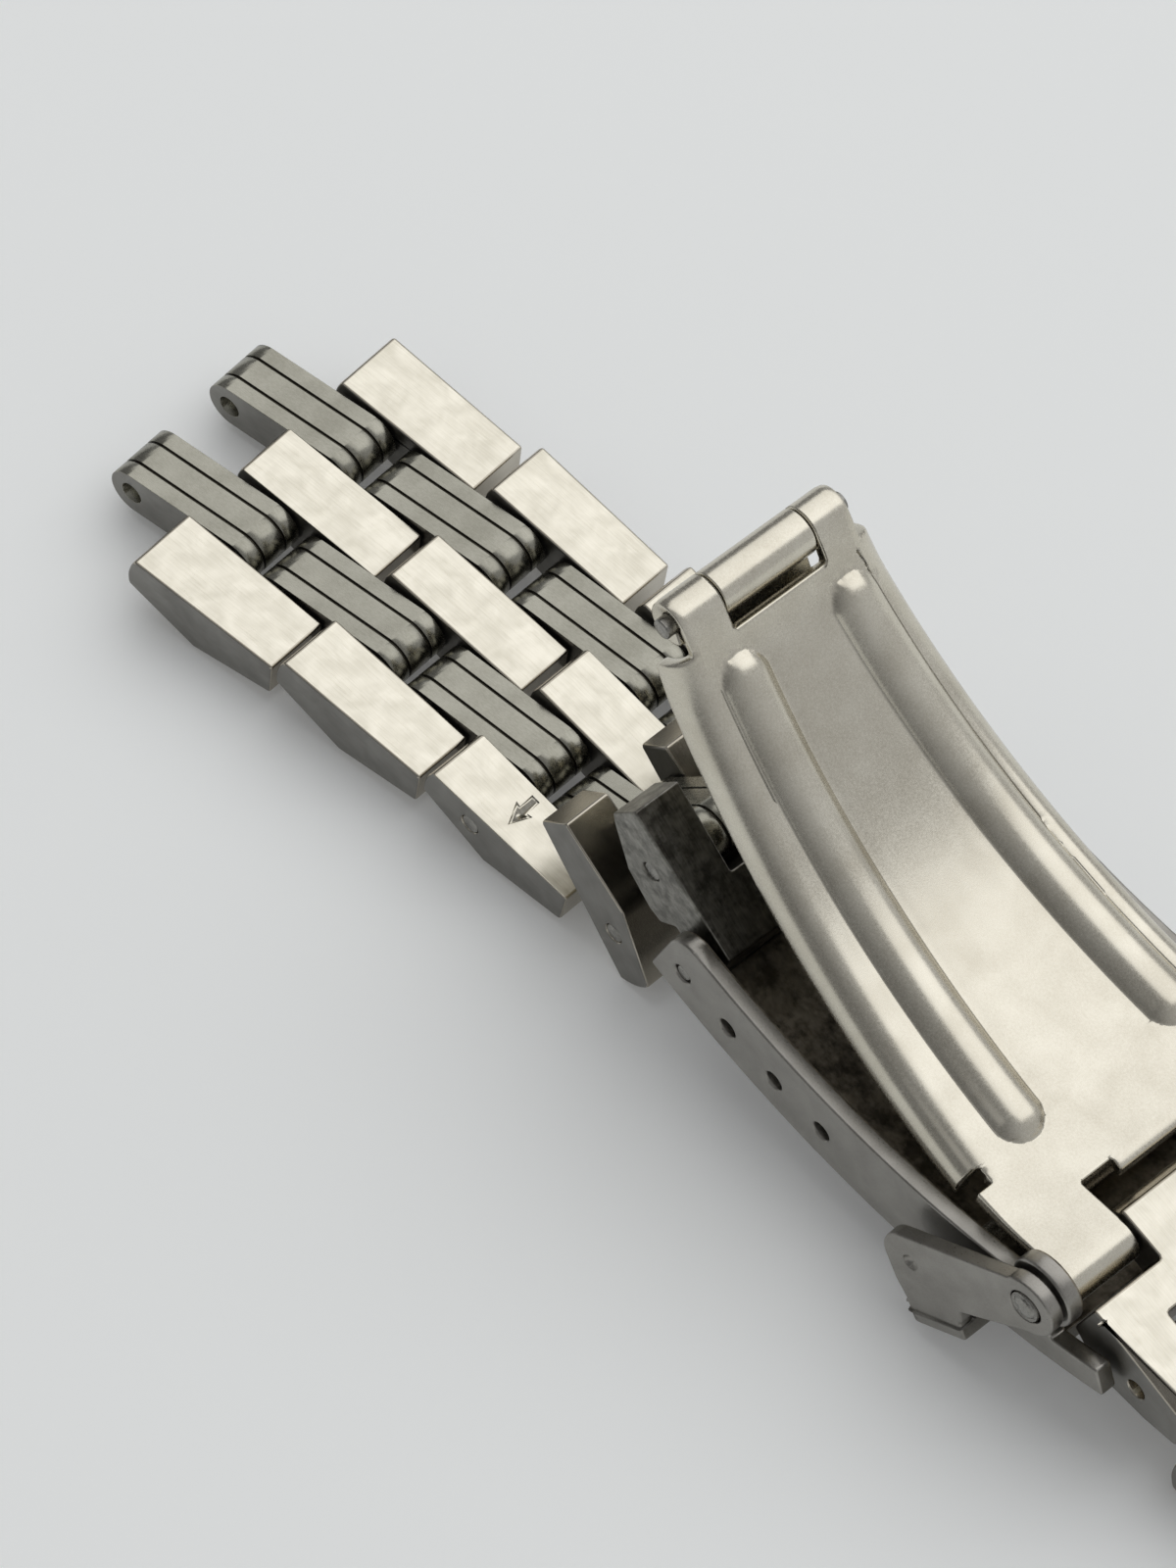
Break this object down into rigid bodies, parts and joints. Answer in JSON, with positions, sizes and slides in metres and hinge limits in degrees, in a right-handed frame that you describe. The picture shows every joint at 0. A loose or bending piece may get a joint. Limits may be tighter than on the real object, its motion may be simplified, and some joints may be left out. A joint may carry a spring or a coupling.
{
  "type": "watch bracelet with folding clasp",
  "caption": "Steel watch bracelet of staggered links with grooved intermediate links, a spring bar, and an open folding clasp with a curved cover and a swinging catch.",
  "frame": {"origin": "middle of the free end bore of the last intermediate link of half A", "axes": "+Y along that bore, +X along the band towards the clasp, +Z towards the wrist side, which lies upwards"},
  "size_m": [0.0964, 0.0252, 0.0252],
  "materials": {
    "row_steel": "fine lengthwise brushing on the skin face, worn",
    "turned_link_steel": "polished outer face with fine scratches",
    "intermediate_steel": "satin with bright worn ends",
    "end_a_steel": "satin with dark mottled tarnish",
    "end_b_steel": "fine brushing",
    "cover_steel": "satin outside, tarnished inside",
    "catch_steel": "satin",
    "blade_steel": "lightly brushed, scratched",
    "pin_steel": "ground",
    "spring_bar_steel": "ground",
    "rivet_steel": "polished heads"
  },
  "bodies": {
    "cover": {"clasp_cover": "cover_steel", "clasp_cover_walls": "cover_steel", "hinge_pin_a": "pin_steel", "catch_rivets": "rivet_steel"},
    "catch_frame": {"catch": "catch_steel"},
    "lower_blade": {"blade_1": "blade_steel", "hinge_pin_c": "pin_steel"},
    "upper_blade": {"blade_2": "blade_steel", "hinge_pin_b": "pin_steel"},
    "end_b": {"end_link_b": "end_b_steel", "end_link_b_pin": "pin_steel"},
    "link_b1": {"inter_b1": "intermediate_steel"},
    "row_b2": {"row_b2_outer": "row_steel", "row_b2_centre": "row_steel", "row_b2_pins": "pin_steel"},
    "link_b2": {"inter_b2": "intermediate_steel"},
    "row_b3": {"row_b3_outer": "row_steel", "row_b3_centre": "row_steel", "row_b3_pins": "pin_steel"},
    "link_b3": {"band_end_inter_b": "intermediate_steel"},
    "end_a": {"end_link_a": "end_a_steel", "end_link_a_pin": "pin_steel", "spring_bar_tube": "spring_bar_steel", "spring_bar_spring": "spring_bar_steel"},
    "tip_near": {"spring_bar_tip_near": "spring_bar_steel"},
    "tip_far": {"spring_bar_tip_far": "spring_bar_steel"},
    "link_a4": {"inter_a4": "intermediate_steel"},
    "row4": {"row4_outer": "turned_link_steel", "row4_centre": "turned_link_steel", "row4_pins": "pin_steel"},
    "link_a3": {"inter_a3": "intermediate_steel"},
    "row3": {"row3_outer": "row_steel", "row3_centre": "row_steel", "row3_pins": "pin_steel"},
    "link_a2": {"inter_a2": "intermediate_steel"},
    "row2": {"row2_outer": "row_steel", "row2_centre": "row_steel", "row2_pins": "pin_steel"},
    "link_a1": {"inter_a1": "intermediate_steel"},
    "row1": {"row1_outer": "row_steel", "row1_centre": "row_steel", "row1_pins": "pin_steel"},
    "link_a0": {"band_end_inter_a": "intermediate_steel"}
  },
  "joints": [
    {"name": "spring_bar", "type": "hinge", "parent": "cover", "child": "end_a", "pos_m": [0.04081, -0.00224, 0.00517], "axis": [0.1279, 0.9918, 0], "range_deg": [-25, 24]},
    {"name": "tip_near_push", "type": "slide", "parent": "end_a", "child": "tip_near", "axis": [0.1279, 0.9918, 0], "range_m": [0, 0.0008], "stiffness_N_per_m": 400},
    {"name": "tip_far_push", "type": "slide", "parent": "end_a", "child": "tip_far", "axis": [-0.1279, -0.9918, 0], "range_m": [0, 0.0008], "stiffness_N_per_m": 400},
    {"name": "end_a_pin", "type": "hinge", "parent": "end_a", "child": "link_a4", "pos_m": [0.03728, -0.00179, 0.00814], "axis": [-0.1279, -0.9918, 0], "range_deg": [-95.8, 2.2]},
    {"name": "row4_right", "type": "hinge", "parent": "link_a4", "child": "row4", "pos_m": [0.0329, -0.00129, 0.00337], "axis": [0.0996, 0.995, 0], "range_deg": [-25.9, 92.1]},
    {"name": "row4_left", "type": "hinge", "parent": "row4", "child": "link_a3", "pos_m": [0.03493, -0.00149, 0.00106], "axis": [-0.0996, -0.995, 0], "range_deg": [0, 160]},
    {"name": "row3_right", "type": "hinge", "parent": "link_a3", "child": "row3", "pos_m": [0.02856, -0.00094, -0.00012], "axis": [0.0712, 0.9975, 0], "range_deg": [-112.4, 67.6]},
    {"name": "row3_left", "type": "hinge", "parent": "row3", "child": "link_a2", "pos_m": [0.02555, -0.00073, 0.00052], "axis": [-0.0712, -0.9975, 0], "range_deg": [-103.3, 74.7]},
    {"name": "row2_right", "type": "hinge", "parent": "link_a2", "child": "row2", "pos_m": [0.01908, -0.00036, 0.00015], "axis": [0.0427, 0.9991, 0], "range_deg": [-101.3, 78.7]},
    {"name": "row2_left", "type": "hinge", "parent": "row2", "child": "link_a1", "pos_m": [0.01603, -0.00023, 0.00058], "axis": [-0.0427, -0.9991, 0], "range_deg": [-102.9, 77.1]},
    {"name": "row1_right", "type": "hinge", "parent": "link_a1", "child": "row1", "pos_m": [0.00955, -0.00004, 0.00002], "axis": [0.0143, 0.9999, 0], "range_deg": [-100.8, 79.2]},
    {"name": "row1_left", "type": "hinge", "parent": "row1", "child": "link_a0", "pos_m": [0.00649, 0, 0.00034], "axis": [-0.0143, -0.9999, 0], "range_deg": [-98.9, 81.1]},
    {"name": "blade_hinge", "type": "hinge", "parent": "cover", "child": "lower_blade", "pos_m": [0.05883, -0.00457, 0.00316], "axis": [0.1279, 0.9918, 0], "range_deg": [-6, 12]},
    {"name": "fold_hinge", "type": "hinge", "parent": "lower_blade", "child": "upper_blade", "pos_m": [0.03512, -0.00151, 0.0221], "axis": [-0.1279, -0.9918, 0], "range_deg": [0, 170]},
    {"name": "end_hinge", "type": "hinge", "parent": "upper_blade", "child": "end_b", "pos_m": [0.06374, -0.0052, 0.00575], "axis": [-0.1279, -0.9918, 0], "range_deg": [-18, 130]},
    {"name": "end_b_pin", "type": "hinge", "parent": "end_b", "child": "link_b1", "pos_m": [0.06875, -0.00585, 0.00334], "axis": [0.1279, 0.9918, 0], "range_deg": [-54.2, 75.8]},
    {"name": "row_b2_left", "type": "hinge", "parent": "link_b1", "child": "row_b2", "pos_m": [0.0743, -0.00651, 0.00001], "axis": [0.1106, 0.9939, 0], "range_deg": [-53.2, 126.8]},
    {"name": "row_b2_right", "type": "hinge", "parent": "row_b2", "child": "link_b2", "pos_m": [0.07734, -0.00685, 0.00033], "axis": [-0.1106, -0.9939, 0], "range_deg": [-80, 100]},
    {"name": "row_b3_left", "type": "hinge", "parent": "link_b2", "child": "row_b3", "pos_m": [0.08379, -0.00755, -0.00012], "axis": [0.1037, 0.9946, 0], "range_deg": [-82, 98]},
    {"name": "row_b3_right", "type": "hinge", "parent": "row_b3", "child": "link_b3", "pos_m": [0.08685, -0.00787, 0.00009], "axis": [-0.1037, -0.9946, 0], "range_deg": [-83, 97]},
    {"name": "catch_swing", "type": "hinge", "parent": "cover", "child": "catch_frame", "pos_m": [0.06385, -0.00521, 0.00652], "axis": [-0.1279, -0.9918, 0], "range_deg": [0, 66]}
  ]
}
